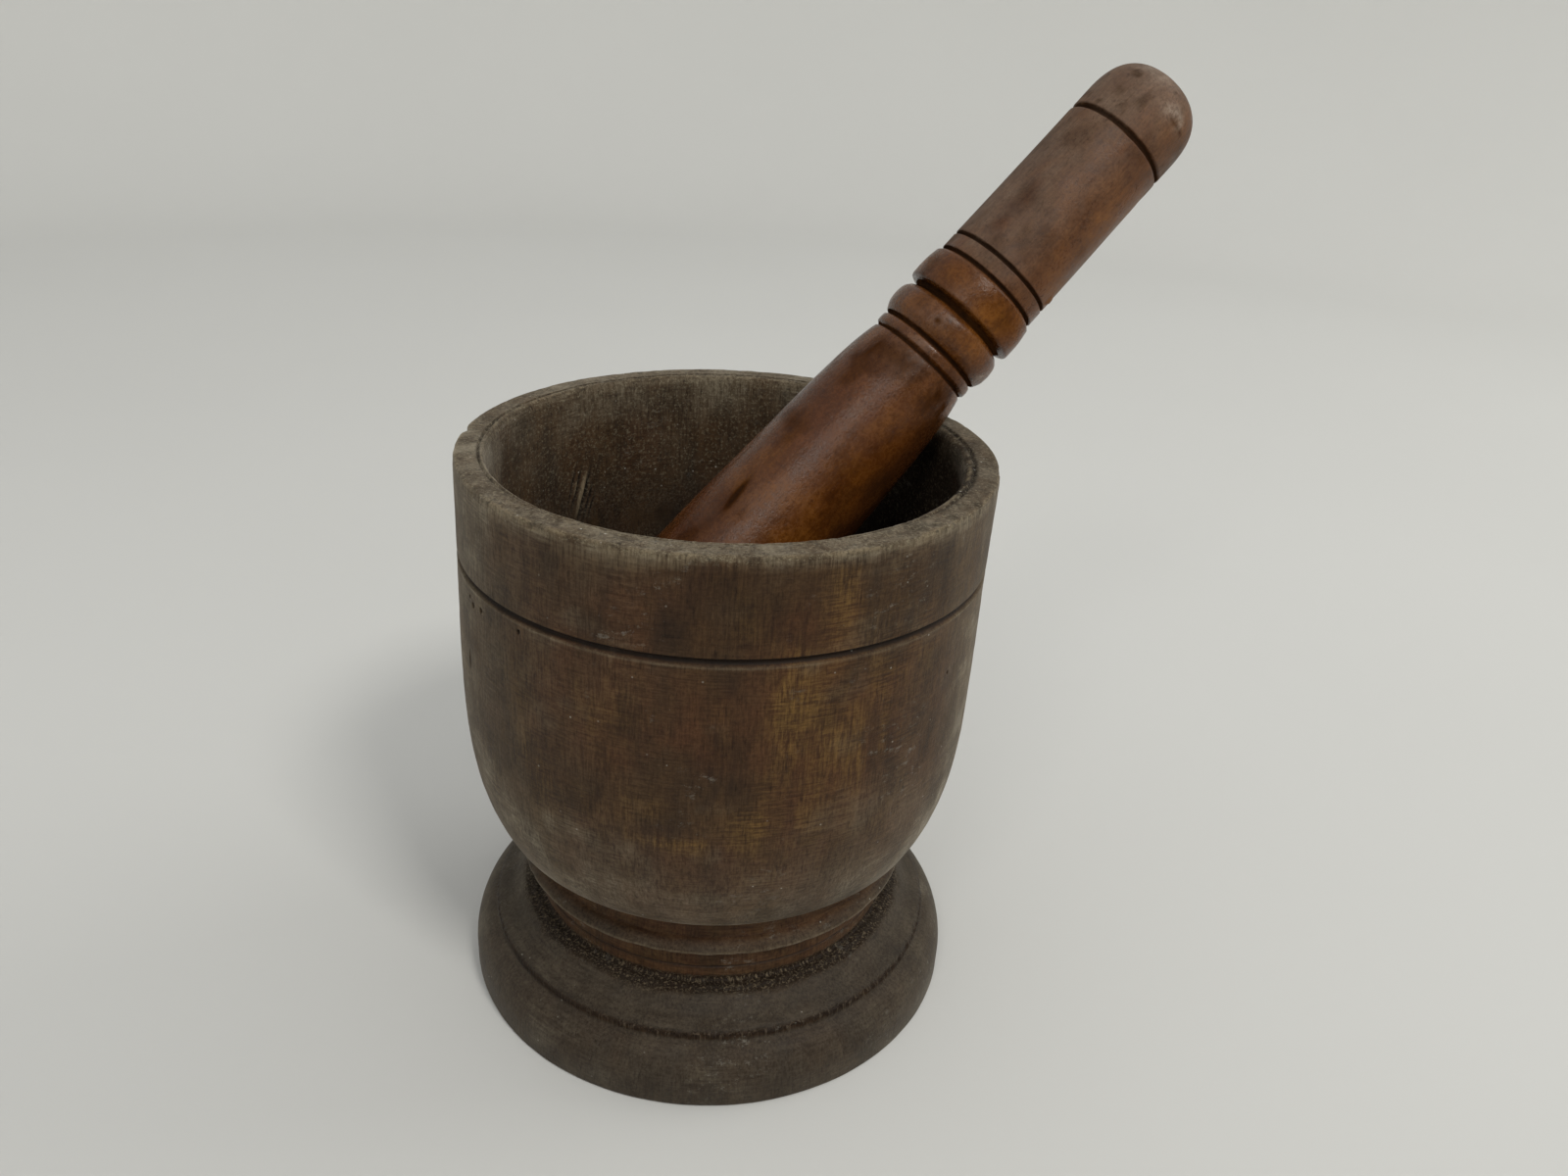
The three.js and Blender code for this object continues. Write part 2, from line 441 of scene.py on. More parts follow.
# Woodworm exit holes: heading in degrees, height, radius and depth
WORM_HOLES = [
    (-149.8, 140.0, 0.9, 1.8), (-145.8, 140.8, 0.85, 1.7), (-132.2, 142.1, 0.7, 1.4),
    (-151.6, 141.6, 0.55, 1.0), (-36.6, 127.9, 0.5, 0.9), (62.0, 96.0, 0.7, 1.5),
    (66.5, 101.5, 0.6, 1.3), (118.0, 131.0, 0.6, 1.2),
]
SLIT = (-153.4, 121.3)
CHIP_HEADING = 175.6

# The splintered tear inside the bowl: heading, height, and each splinter's place across it in
# millimetres, half width, half height and lift (gouges are negative)
TEAR = (135.5, 138.5)
SPLINTERS = [
    (0.0, 0.85, 6.5, 1.1), (-1.9, 0.7, 7.0, -1.3), (1.9, 0.6, 6.0, -1.1), (2.8, 0.5, 3.0, 0.7),
    (-4.4, 0.6, 5.0, -1.0), (-3.2, 0.4, 6.0, 0.3), (-6.4, 0.45, 4.0, -0.7), (4.2, 0.5, 7.0, -0.6),
]


def wall_point(heading, height):
    """A point on the bowl's outside, in metres."""
    radius = float(bowl_radius(height, *OUTSIDE)) if height < BELLY_HEIGHT else BELLY_RADIUS
    angle = math.radians(heading)
    return Vector((radius * math.cos(angle), radius * math.sin(angle), height)) * MM


MARKS = [wall_point(heading, height) for heading, height, _, _ in WORM_HOLES] + [wall_point(*SLIT)]


def near_a_mark(place):
    """True close to a worm hole or the slit."""
    return any((place - mark).length < 2.4 * MM for mark in MARKS)


def in_the_tear(place):
    """True where the splintered tear lies inside the bowl."""
    heading = math.degrees(math.atan2(place.y, place.x))
    radius, height = math.hypot(place.x, place.y) / MM, place.z / MM
    near = abs(turn_from(heading, TEAR[0] + 2)) < 9 and abs(height - TEAR[1]) < 15
    return near and 60 < radius < MOUTH_RADIUS + 1


def in_torn_rings(place):
    """True on the torn end grain by the neck and along the foot's step."""
    radius, height = math.hypot(place.x, place.y) / MM, place.z / MM
    by_neck = NECK_RADIUS < radius < NECK_RADIUS + 6.5 and 25 < height < 28.6
    by_step = STEP_RADIUS - 1.5 < radius < STEP_RADIUS + 0.4 and 18.6 < height < 22
    return by_neck or by_step


class Zones(Places):
    """The mortar's vertices, and how much each belongs to each surface, 0 to 1."""

    def __init__(self, points, normals):
        super().__init__(points)
        z, radius = self.z, self.radius
        outward = (normals[:, :2] * points[:, :2]).sum(1) / np.maximum(radius, 1e-6)
        in_hollow = (radius < bowl_radius(z, *INSIDE) + 2.5) & (z > FLOOR_HEIGHT - 2)
        inner = (outward < 0.35) & in_hollow & (z < MORTAR_HEIGHT - 0.8)
        self.inside = inner.astype(float)
        self.front = ramp(self.away(-93), 58, 40)
        self.right = self.facing(-12, 42)
        self.left = ramp(self.away(-150), 60, 25)
        # The inside's right side below the rim, as painted shade: the masks darken it and clear it of the
        # dusty film.
        self.shaded = ramp(self.away(5), 80, 45) * ramp(z, 172.4, 165) * self.inside
        outside = 1 - self.inside
        self.wall = outside * ramp(z, 56, 60) * ramp(z, 173.6, 172.2)
        # The wall's groove, darkened as painted shade where its upper face is in shadow.
        self.groove = ramp(np.abs(z - GROOVE_HEIGHT - 0.2), 1.15, 0.7) * self.wall
        self.find_foot(outside)
        self.find_rim()
        # Thin pale lines on the groove's lower edge, the bowl's lower edge and the bead's edge: worn
        # edges, partly painted edge highlights.
        self.worn_and_highlit_edges = 0.6 * hump(z, GROOVE_HEIGHT - 1.4, 0.35) * self.wall
        self.worn_and_highlit_edges += 0.8 * hump(z, 57.6, 0.9) * hump(radius, 66.5, 2.5)
        self.worn_and_highlit_edges += 0.8 * hump(z, 42.4, 0.4) * ramp(radius, 60.5, 61.1)

    def find_foot(self, outside):
        """The foot's skirt, step, top and torn end grain, and the neck above it."""
        z, radius = self.z, self.radius
        past_neck = radius - NECK_RADIUS
        ring = ramp(z, 20.6, 21.4) * ramp(z, 29.6, 28.8) * (past_neck > 0.1)
        self.foot_top = ring * outside
        self.skirt = ramp(z, 19.4, 18.6) * (radius > 60) * (z > 0.05)
        self.step = hump(radius, STEP_RADIUS - 0.1, 1.1) * hump(z, 20.2, 1.5)
        ragged = 4.6 + 3.2 * layered(self.points, 9, 13)
        torn = ramp(past_neck, ragged, ragged * 0.55) * ramp(z, 30.2, 28.9)
        self.torn = torn * (z > 24.5) * (past_neck > -1)
        self.neck = ramp(z, 28.2, 29.4) * ramp(z, 56, 53.5) * outside
        self.bead = hump(z, 43.2, 1.9) * ramp(past_neck, 1.4, 3)
        self.scribed = hump(z, SCRIBED_HEIGHT, 0.5) * (past_neck < 0.5) * outside

    def find_rim(self):
        """The rim's flat top, its fine groove, and the lip's edge on the right."""
        z, radius = self.z, self.radius
        self.rim = ramp(z, MORTAR_HEIGHT - 3.2, MORTAR_HEIGHT - 0.8) * ramp(radius, 65, 66.5)
        ragged = radius + 0.6 * (noise(self.points, 2.5, 15) - 0.5)
        on_line = hump(ragged, LIP_GROOVE, 0.44 + 0.3 * self.right)
        self.lip_groove = on_line * ramp(z, 172.0, 172.9)
        lip = hump(radius, MOUTH_RADIUS + 0.9, 1.3) * ramp(z, 168, 171)
        self.right_lip = lip * self.right


def worm_depth(points):
    """How deep the worm holes and the slit are at each vertex, and how dark."""
    sunk, dark = np.zeros(len(points)), np.zeros(len(points))
    for heading, height, radius, depth in WORM_HOLES:
        away = np.linalg.norm(points - np.array(wall_point(heading, height)) / MM, axis=1)
        inside = ramp(away, radius, radius * 0.55)
        sunk = np.maximum(sunk, depth * inside)
        dark = np.maximum(dark, ramp(away, radius * 1.15, radius * 0.7))
    offset = points - np.array(wall_point(*SLIT)) / MM
    across = np.hypot(offset[:, 0], offset[:, 1])
    inside = ramp(across, 0.55, 0.25) * ramp(np.abs(offset[:, 2]), 2.3, 1.5)
    return np.maximum(sunk, 0.8 * inside), np.maximum(dark, inside)


def splinters(on):
    """Lift of the tear's splinters in millimetres, down to its gouges."""
    across = np.radians(turn_from(on.heading, TEAR[0])) * MOUTH_RADIUS
    up = on.z - TEAR[1]
    slanted = across + 0.36 * up + 0.7 * (noise(on.points, (3, 3, 6), 33) - 0.5)
    lift = np.zeros(len(up))
    for place, half_width, half_height, amount in SPLINTERS:
        lift += amount * hump(slanted, place, half_width) * hump(up, 0.8 * place, half_height)
    return lift * on.inside


def wall_relief(on):
    """The bowl's outside: shallow dips, faint turning lines and a slightly uneven groove."""
    p = on.points
    height = -(0.12 * layered(p, 26, 3) + 0.1 * noise(p, (9, 9, 2.2), 4)) * on.wall
    return height - 0.18 * noise(p, 4, 41) * on.groove


def foot_relief(on):
    """Scraped neck, dented foot, torn grain by the neck, and ticks along the step."""
    p = on.points
    height = -0.22 * patchy(p, (2.2, 2.2, 1.2), 42, 0.5, 0.9, 1) * on.neck
    height -= 0.16 * layered(p, 8, 43) * (on.skirt + on.foot_top)
    height -= (0.3 + 0.55 * noise(p, 1.1, 11)) * on.torn
    ticks = patchy(p, (0.8, 0.8, 5.0), 14, 0.35, 0.75, 1)
    return height - 0.75 * ticks * on.step * (0.3 + 0.7 * ramp(on.away(-62), 75, 30))


def rim_pits(points):
    """The small open pits of the rim's end grain."""
    return patchy(points, (1.7, 1.7, 3.0), 21, 0.6, 0.85, 1)


def rim_relief(on):
    """Pits, dips and nicks, worst in front, one chip, and the worn fine groove."""
    p = on.points
    wear = 0.35 + 0.65 * on.front
    height = -0.3 * rim_pits(p) * on.rim * wear * (1 - on.lip_groove)
    height -= 0.45 * layered(p, 18, 23) * on.rim
    edge = hump(on.radius, RIM_RADIUS - 0.3, 0.9) * ramp(on.z, 171.6, 172.8)
    height -= 0.6 * patchy(p, (3.4, 3.4, 9.0), 24, 0.66, 0.86, 1) * edge * wear
    chip = hump(np.radians(on.away(CHIP_HEADING)) * RIM_RADIUS, 0, 2.2)
    height -= chip * hump(on.radius, RIM_RADIUS, 1.6) * ramp(on.z, 168, 172)
    return height + 0.55 * on.lip_groove * on.front * (0.6 + 0.4 * noise(p, 5, 25))


def inside_relief(on):
    """Pounding dents, deepest low down, and the upright unevenness of the grain."""
    p = on.points
    height = -0.5 * layered(p, (7, 7, 10), 31) * ramp(on.z, 150, 95)
    return (height - 0.22 * layered(p, (3.5, 3.5, 14), 32)) * on.inside


def mortar_relief(on):
    """Height in millimetres to move each vertex along its normal."""
    return wall_relief(on) + foot_relief(on) + rim_relief(on) + inside_relief(on)


def out_of_true(points):
    """How far the bowl has crept towards +X in drying, most at the rim's outer edge."""
    rise = np.clip((points[:, 2] - 100) / (MORTAR_HEIGHT - 100), 0, 1)
    radius = np.hypot(points[:, 0], points[:, 1])
    crept = 1.25 * rise**1.5 * (0.4 + 0.6 * ramp(radius, 66, 71))
    return np.outer(crept, (1, 0, 0))


# Worn patches where the finish has gone golden: heading, height, half width, half height, strength
OCHRE_PATCHES = [
    (-75, 136, 4, 9, 1.7), (-78, 123, 3, 9, 0.9), (-67, 121, 4, 11, 0.6), (-60, 125, 5, 16, 0.7),
    (-71, 101, 4, 13, 0.6), (-81, 96, 6, 5, 0.9), (-56, 104, 6, 16, 0.6), (-68, 161, 3.5, 12, 0.9),
    (-95, 91, 10, 1.8, 1.4), (-105, 102, 4, 4, 0.8), (-112, 128, 8, 14, 0.4), (-128, 116, 5, 16, 0.4),
    (70, 118, 9, 30, 0.8), (95, 96, 14, 6, 0.7), (150, 125, 7, 25, 0.7), (15, 110, 8, 26, 0.7),
]


def side_dust_and_sheen(on):
    """1 round the sides and back, with barer stretches behind, and 0 in front; the dusty film there is
    heavier and also paints the sheen of the slanting sides.
    """
    away = on.away(-88)
    barer = ramp(away, 100, 135) * patchy(on.points, 30, 55, 0.35, 0.6)
    return ramp(away, 30, 80) * (1 - 0.5 * barer)


def bowl_dust_and_sheen(on, side):
    """Dust and painted sheen on the bowl's outside: at the sides, low down and under the rim."""
    p, z = on.points, on.z
    low = ramp(z, 100, 60)
    dust_and_sheen = 0.04 + 0.74 * side + 0.75 * low * (0.6 + 0.6 * side)
    dust_and_sheen += 0.25 * patchy(p, (11, 11, 8), 52, 0.56, 0.72, 4)
    dust_and_sheen += 0.25 * ramp(z, 158, 172) * (0.25 + 0.75 * side)
    dust_and_sheen += 0.6 * ramp(z, 166.5 + 4 * noise(p, (7, 7, 3), 57), 171.8)
    # Extra on the left side, as painted sheen.
    return (dust_and_sheen + on.left * (0.1 + 0.22 * low)) * on.wall


def foot_dust_and_sheen(on, side):
    """Dust on the foot, with painted sheen at its sides, smeared round its skirt, and a little on the
    neck.
    """
    smears = patchy(on.points, (10, 10, 3.5), 54, 0.52, 0.7, 4)
    dust_and_sheen = (0.06 + 0.25 * side) * (on.foot_top + on.skirt)
    dust_and_sheen += 0.45 * smears * (on.skirt + 0.5 * on.foot_top)
    return dust_and_sheen + 0.22 * on.left * on.foot_top + 0.12 * on.bead + 0.1 * on.neck


def dust_and_sheen_mask(on, side):
    """Dust and painted sheen all over the mortar, less what has been rubbed off, and less on the inside's
    shaded side as painted shade.
    """
    p, z = on.points, on.z
    mottled = layered(p, 17, 51)
    upper_inside = 0.48 * ramp(z, 156, 171) + 0.25 * ramp(z, 138, 160) * ramp(mottled, 0.35, 0.6)
    dust_and_sheen = bowl_dust_and_sheen(on, side) + foot_dust_and_sheen(on, side) + on.inside * (0.1 + upper_inside)
    dust_and_sheen += (0.9 + 0.2 * side + 0.4 * on.front) * on.rim
    dust_and_sheen *= 0.55 + 0.9 * mottled
    dust_and_sheen += 0.6 * on.worn_and_highlit_edges * patchy(p, 7, 53, 0.25, 0.6)
    dust_and_sheen *= 1 - 0.95 * on.groove
    band = ramp(z, 148, 151) * on.wall
    dust_and_sheen *= 1 - 0.75 * on.facing(-91, 12) * band
    dust_and_sheen *= 1 - 0.42 * on.facing(-20, 28) * band
    dust_and_sheen += 0.34 * on.facing(-54, 13) * hump(z, 95, 11) * on.wall
    # Painted shade: little on the inside's shaded side.
    dust_and_sheen *= 1 - 0.9 * on.shaded
    return dust_and_sheen * (1 - 0.32 * on.rim * on.right) * (1 - 0.7 * on.right_lip)


def ochre_mask(on):
    """Golden patches broken into uprights by the grain, faint clouds, and the neck."""
    p = on.points
    ochre = np.zeros(len(p))
    for heading, height, wide, tall, strength in OCHRE_PATCHES:
        ochre += strength * on.facing(heading, wide) * hump(on.z, height, tall)
    ochre *= patchy(p, (5, 5, 20), 307, 0.34, 0.6, 4)
    ochre += 0.22 * patchy(p, (14, 14, 24), 62, 0.52, 0.75, 4)
    return ochre * on.wall + 0.16 * on.neck * (1 - on.bead) * noise(p, (3, 3, 20), 63)


def red_mask(on, side):
    """Redder wood: the neck, clouds over the clean front, and streaks inside."""
    p = on.points
    red = 0.85 * on.neck * (1 - 0.75 * on.bead)
    red += 0.8 * patchy(p, 26, 64, 0.35, 0.65) * on.wall * (1 - side)
    return red + 0.45 * on.inside * patchy(p, (12, 12, 30), 65, 0.5, 0.8)


def dark_mask(on, lift):
    """Grime in pits and torn grain, stains, darker scribed line, step, rim groove, gouges and deep
    inside, and painted shade in the wall's groove and on the inside's shaded side.
    """
    p, z = on.points, on.z
    # The wall's groove is painted shade; the scribed line and the step are darkened too.
    dark = 0.95 * on.groove + 0.75 * on.scribed + 0.85 * on.torn + 0.8 * on.step
    dark += 0.2 * patchy(p, 8, 66, 0.54, 0.72, 4) * on.wall
    broken = np.maximum(patchy(p, 4, 69, 0.3, 0.55), on.right)
    dark += 0.85 * on.lip_groove * (1 - on.front) * broken
    dark += 0.25 * rim_pits(p) * on.rim
    dark += 0.6 * patchy(p, (2.8, 2.8, 6), 59, 0.62, 0.76, 1) * on.facing(-38, 24) * on.rim
    dark += 0.65 * on.right_lip * patchy(p, (3, 3, 5), 60, 0.2, 0.6, 1)
    # Darker deeper inside the bowl, and painted shade on the inside's shaded side.
    dark += 0.55 * ramp(z, 158, 112) * on.inside + 0.8 * on.shaded
    dark += 0.35 * patchy(p, (2.4, 2.4, 3.5), 67, 0.5, 0.7) * ramp(z, 150, 128) * on.inside
    return dark + 0.9 * ramp(-lift, 0.1, 0.6)


def pale_mask(on, lift):
    """Bare pale wood: splinters, worn edges with painted edge highlights, bruises and the lip's ridge."""
    p, z = on.points, on.z
    pale = 0.9 * ramp(lift, 0.15, 0.6) + 0.35 * on.worn_and_highlit_edges
    edge = hump(on.radius, RIM_RADIUS - 0.5, 0.8) * ramp(z, 172.0, 173.2)
    pale += 0.7 * edge * patchy(p, 5, 68, 0.36, 0.66)
    bruised = ramp(z, 165, 172) * on.wall * on.front
    pale += 0.35 * bruised * patchy(p, (12, 12, 2.5), 56, 0.5, 0.62, 4)
    ridge = hump(on.radius, LIP_GROOVE - 1.2, 0.5) * ramp(z, 172.0, 172.9) * (1 - on.front)
    return pale + (0.5 + 0.3 * on.right) * ridge * patchy(p, 2.2, 58, 0.4, 0.7, 1)


def mortar_masks(on, lift, hole_dark):
    """Every mask that the mortar's material reads."""
    side = side_dust_and_sheen(on)
    slate = 0.95 * on.foot_top + 0.85 * on.skirt + 0.55 * on.bead
    crumbly = (on.inside - on.shaded) * ramp(on.z, 148, 130)
    return {
        "dust_and_sheen": dust_and_sheen_mask(on, side),
        "ochre": ochre_mask(on),
        "red": red_mask(on, side),
        "dark": dark_mask(on, lift) + hole_dark,
        "slate": slate * (1 - 0.8 * on.torn),
        "torn": on.torn + 0.4 * crumbly * patchy(on.points, 9, 70, 0.35, 0.6),
        "comb": on.step * (0.25 + 0.75 * ramp(on.away(-62), 70, 35)),
        "pale": pale_mask(on, lift),
        "end_grain": on.rim + 0.8 * on.inside * ramp(on.z, 120, 150),
    }


def build_mortar():
    """The turned mortar with its holes, chips, pits and tear."""
    outline = joined(foot_outline(), neck_outline(), bowl_outline(), hollow_outline())
    mesh = lathe("mortar_wood", outline, MORTAR_SEGMENTS)
    refine(mesh, in_torn_rings, 1)
    refine(mesh, in_the_tear, 3)
    refine(mesh, near_a_mark, 7)
    points, normals = read_vertices(mesh, "co") / MM, read_vertices(mesh, "normal")
    on = Zones(points, normals)
    lift = splinters(on)
    hole_depth, hole_dark = worm_depth(points)
    push(mesh, points + out_of_true(points), normals, mortar_relief(on) + lift - hole_depth)
    paint(mesh, points, mortar_masks(on, lift, hole_dark))
    placed("mortar_turned", mesh, "mortar", mortar_material())


# ---- the pestle's surface

# The small splinter on the handle: heading and station
SPLINTER = (-139, 45.5)

# Station, half width and strength of each dark groove
PESTLE_GROOVES = [
    (0.0, 0.8, 1.0), (48.5, 0.62, 1.0), (54.2, 0.62, 1.0),
    (67.0, 1.15, 0.82), (78.4, 0.6, 0.95), (82.9, 0.55, 0.95),
]

# Orange worn patches on the pestle: heading, station, half width in degrees, half length, strength
PESTLE_PATCHES = [
    (-172, 19, 24, 9, 1.0), (-172, 38, 26, 10, 0.65), (105, 4, 14, 4, 0.6),
    (178, 62, 40, 5, 0.9), (170, 71, 22, 3.5, 1.1), (168, 128, 24, 26, 0.9),
    (104, 136, 14, 18, 0.9), (165, 100, 24, 9, 0.6), (-60, 30, 30, 20, 0.7),
    (-20, 90, 40, 30, 0.6), (20, 15, 30, 14, 0.5),
]


class PestlePlaces(Places):
    """The pestle's vertices, their stations, and what several masks share."""

    def __init__(self, points):
        super().__init__(points)
        self.station = PESTLE_LENGTH - CAP_LENGTH - self.z
        self.mottled = layered(points, (15, 15, 22), 81, 4)
        self.fine = layered(points, (5, 5, 8), 82, 4)
        self.cap = ramp(self.station, -0.5, -2)
        self.upper = ramp(self.away(95), 85, 30)
        self.right = self.facing(-165, 38)

    def spot(self, heading, station, spread, half_length):
        """A soft round mark on the pestle."""
        return self.facing(heading, spread) * hump(self.station, station, half_length)


def pestle_relief(on):
    """Height in millimetres: small dents, the rough working end and one splinter."""
    p = on.points
    height = -0.16 * layered(p, (14, 14, 30), 71) - 0.05 * noise(p, (4, 4, 8), 72)
    pits = patchy(p, (2.2, 2.2, 2.6), 73, 0.55, 0.85, 1)
    height -= (0.3 * pits + 0.25 * layered(p, 6, 74)) * ramp(on.z, 60, 12)
    height -= 0.18 * patchy(p, (5, 5, 9), 75, 0.8, 0.95, 1)
    return height + 1.1 * on.spot(*SPLINTER, 2, 1.1)


def pestle_dust_and_sheen(on):
    """Dust on the dome, over the grip and at the working end; on the grip it is also painted sheen,
    heavier on the upper side and lighter on the right.
    """
    cap = 0.18 * on.cap + 0.6 * ramp(on.station, -12, -21) * ramp(on.fine, 0.35, 0.6)
    patches = patchy(on.points, (8, 8, 10), 83, 0.1, 0.56, 4)
    grip = ramp(on.station, 57, 50) * (0.46 + 0.34 * on.upper) * patches
    clouds = 0.12 * ramp(on.mottled, 0.5, 0.72) * (1 - on.right)
    return cap + grip * (1 - 0.62 * on.right) + clouds + 0.45 * ramp(on.z, 60, 20)


def pestle_ochre(on):
    """Orange wear: clouds all over, the listed patches, the band and the bead."""
    ochre = 0.5 * patchy(on.points, (13, 13, 20), 87, 0.42, 0.66, 4)
    for heading, station, wide, tall, strength in PESTLE_PATCHES:
        ochre += strength * on.spot(heading, station, wide, tall) * ramp(on.fine, 0.25, 0.6)
    return ochre + 0.45 * hump(on.station, 60, 6) + 0.35 * hump(on.station, 73, 4.5)


def pestle_dark(on):
    """Stains and shading, the dark lines in the grooves, and the working end."""
    p, station = on.points, on.station
    on_head = ramp(station, 84, 96)
    dark = 0.28 * patchy(p, (7, 7, 10), 86, 0.5, 0.72, 4)
    dark += 0.14 * on.upper * ramp(on.mottled, 0.62, 0.4)
    dark += 0.5 * on.cap * patchy(p, 3.4, 88, 0.56, 0.72, 4)
    # A dark band round the shoulder, deeper on the right side as painted shade.
    dark += (0.3 + 0.25 * on.right) * hump(station, 87, 7) * ramp(on.fine, 0.3, 0.6)
    # Painted shade down both sides of the head, deepest on its lower right.
    dark += (0.52 * on.facing(-144, 33) + 0.2 * on.facing(100, 18)) * on_head
    uneven = 0.9 + 0.35 * noise(p, 2.5, 89)
    for groove, half_width, strength in PESTLE_GROOVES:
        edge = half_width * uneven
        dark += strength * ramp(np.abs(station - groove), edge, edge * 0.55)
    return dark + 0.5 * ramp(on.z, 45, 5) + smudges(on)


def smudges(on):
    """One stained scratch along the head, and a small spot on the bead."""
    slanted = (on.station - 147) * 0.35
    across = turn_from(on.heading, 112.5)
    scratch = 0.9 * hump(across, slanted, 2.6) * hump(on.station, 147, 5)
    stain = 0.35 * on.spot(112.5, 150, 12, 9)
    return scratch + stain + 0.7 * on.spot(137.5, 73.2, 4, 1.2)


def pestle_masks(on):
    """Every mask that the pestle's material reads."""
    pale = on.spot(178, -12.5, 16, 2.6) + 0.6 * on.spot(120, -18.5, 25, 1.8)
    pale += 0.8 * on.spot(-148, 74.9, 8, 1.6)
    return {
        "dust_and_sheen": pestle_dust_and_sheen(on),
        "ochre": pestle_ochre(on),
        "red": 0.25 * on.fine + 0.75 * ramp(on.station, 78, 110),
        "dark": pestle_dark(on),
        "pale": pale * ramp(on.fine, 0.3, 0.62),
        "polish": 1 - 0.45 * on.right - 0.45 * hump(on.station, 60, 7),
    }


def lean(mesh):
    """Leans the finished pestle over, through its crossing point."""
    level = math.sin(PESTLE_TILT)
    across, along = level * math.cos(PESTLE_HEADING), level * math.sin(PESTLE_HEADING)
    axis = Vector((across, along, math.cos(PESTLE_TILT)))
    end = (Vector(PESTLE_CROSSING) - axis * END_TO_CROSSING) * MM
    turn = axis.to_track_quat("Z", "Y").to_matrix().to_4x4()
    mesh.transform(Matrix.Translation(end) @ turn)


def build_pestle():
    """The turned pestle, made upright and then leant over."""
    outline = joined(head_outline(), collar_outline(), handle_outline())
    mesh = lathe("pestle_wood", outline, PESTLE_SEGMENTS)
    points, normals = read_vertices(mesh, "co") / MM, read_vertices(mesh, "normal")
    on = PestlePlaces(points)
    push(mesh, points, normals, pestle_relief(on))
    paint(mesh, points, pestle_masks(on))
    lean(mesh)
    placed("pestle_turned", mesh, "pestle", pestle_material())


# ---- materials


class Wood:
    """Builds one material from nodes, with short names for the steps it repeats."""

    def __init__(self, name):
        self.material = bpy.data.materials.new(name)
        self.material.use_nodes = True
        self.tree = self.material.node_tree
        self.tree.nodes.clear()
        self.place = self.attribute("wood_place", "Vector")

    def add(self, kind, inputs, output=0, **settings):
        """A new node's output. An input may be a number, a node's output or a mask's name."""
        node = self.tree.nodes.new(kind)
        for key, value in settings.items():
            setattr(node, key, value)
        for key, value in inputs.items():
            if isinstance(value, str):
                value = self.attribute(value)
            if isinstance(value, bpy.types.NodeSocket):
                self.tree.links.new(value, node.inputs[key])
            else:
                node.inputs[key].default_value = value
        return node.outputs[output]

    def attribute(self, name, output="Fac"):
        """Something that paint() stored on the mesh."""
        return self.add("ShaderNodeAttribute", {}, output, attribute_name=name)

    def noise(self, scale, detail=4.0, roughness=0.55, distortion=0.0):
        """Noise from 0 to 1, of one scale or of three across and along the grain."""
        inputs = {"Vector": self.place, "Scale": scale, "Detail": detail}
        inputs.update({"Roughness": roughness, "Distortion": distortion})
        if isinstance(scale, tuple):
            stretched = self.add("ShaderNodeVectorMath", {0: self.place, 1: scale}, operation="MULTIPLY")
            inputs.update({"Vector": stretched, "Scale": 1.0})
        return self.add("ShaderNodeTexNoise", inputs, "Fac")

    def specks(self, density, size):
        """Small round specks, one in each cell, that fade out towards the given size."""
        inputs = {"Vector": self.place, "Scale": density, "Randomness": 1.0}
        distance = self.add("ShaderNodeTexVoronoi", inputs, "Distance")
        return self.fade(distance, size, size * 0.5)

    def fade(self, value, low, high, to_low=0.0, to_high=1.0):
        """A value's range from low to high, mapped to another and clamped."""
        inputs = {0: value, 1: low, 2: high, 3: to_low, 4: to_high}
        return self.add("ShaderNodeMapRange", inputs, 0, clamp=True)

    def times(self, first, *others):
        """The product of several values."""
        for other in others:
            first = self.add("ShaderNodeMath", {0: first, 1: other}, operation="MULTIPLY")
        return first

    def plus(self, a, b):
        """The sum of two values."""
        return self.add("ShaderNodeMath", {0: a, 1: b}, operation="ADD")

    def less(self, value):
        """1 less a value."""
        return self.add("ShaderNodeMath", {0: 1.0, 1: value}, operation="SUBTRACT")

    def over(self, colour, tint, *shares, blend="MIX"):
        """Lays a tint over a colour by the product of its shares."""
        inputs = {0: self.times(*shares)}
        for key, side in ((6, colour), (7, tint)):
            inputs[key] = (*side, 1.0) if isinstance(side, tuple) else side
        settings = {"data_type": "RGBA", "blend_type": blend, "clamp_factor": True}
        return self.add("ShaderNodeMix", inputs, 2, **settings)

    def shade(self, colour, tint, *shares):
        """The same, but multiplying the colour by the tint."""
        return self.over(colour, tint, *shares, blend="MULTIPLY")

    def bump(self, height, depth, strength, normal=None):
        """Bump of a real depth in metres."""
        inputs = {"Strength": strength, "Distance": depth, "Height": height}
        if normal is not None:
            inputs["Normal"] = normal
        return self.add("ShaderNodeBump", inputs, "Normal")

    def finish(self, colour, roughness, normal, **extra):
        """Joins colour, roughness and bump to the surface."""
        inputs = {"Base Color": colour, "Roughness": roughness, "Normal": normal, **extra}
        surface = self.add("ShaderNodeBsdfPrincipled", inputs, "BSDF")
        end = self.tree.nodes.new("ShaderNodeOutputMaterial")
        self.tree.links.new(surface, end.inputs["Surface"])
        return self.material


def mortar_lines(wood, fibres):
    """Upright fibres, crossed in places by the turning's level strokes."""
    strokes = wood.noise((120, 120, 1450), roughness=0.7)
    scratched = wood.fade(wood.noise(60, detail=3), 0.42, 0.6, 0.25, 0.72)
    return wood.plus(wood.times(fibres, wood.less(scratched)), wood.times(strokes, scratched))


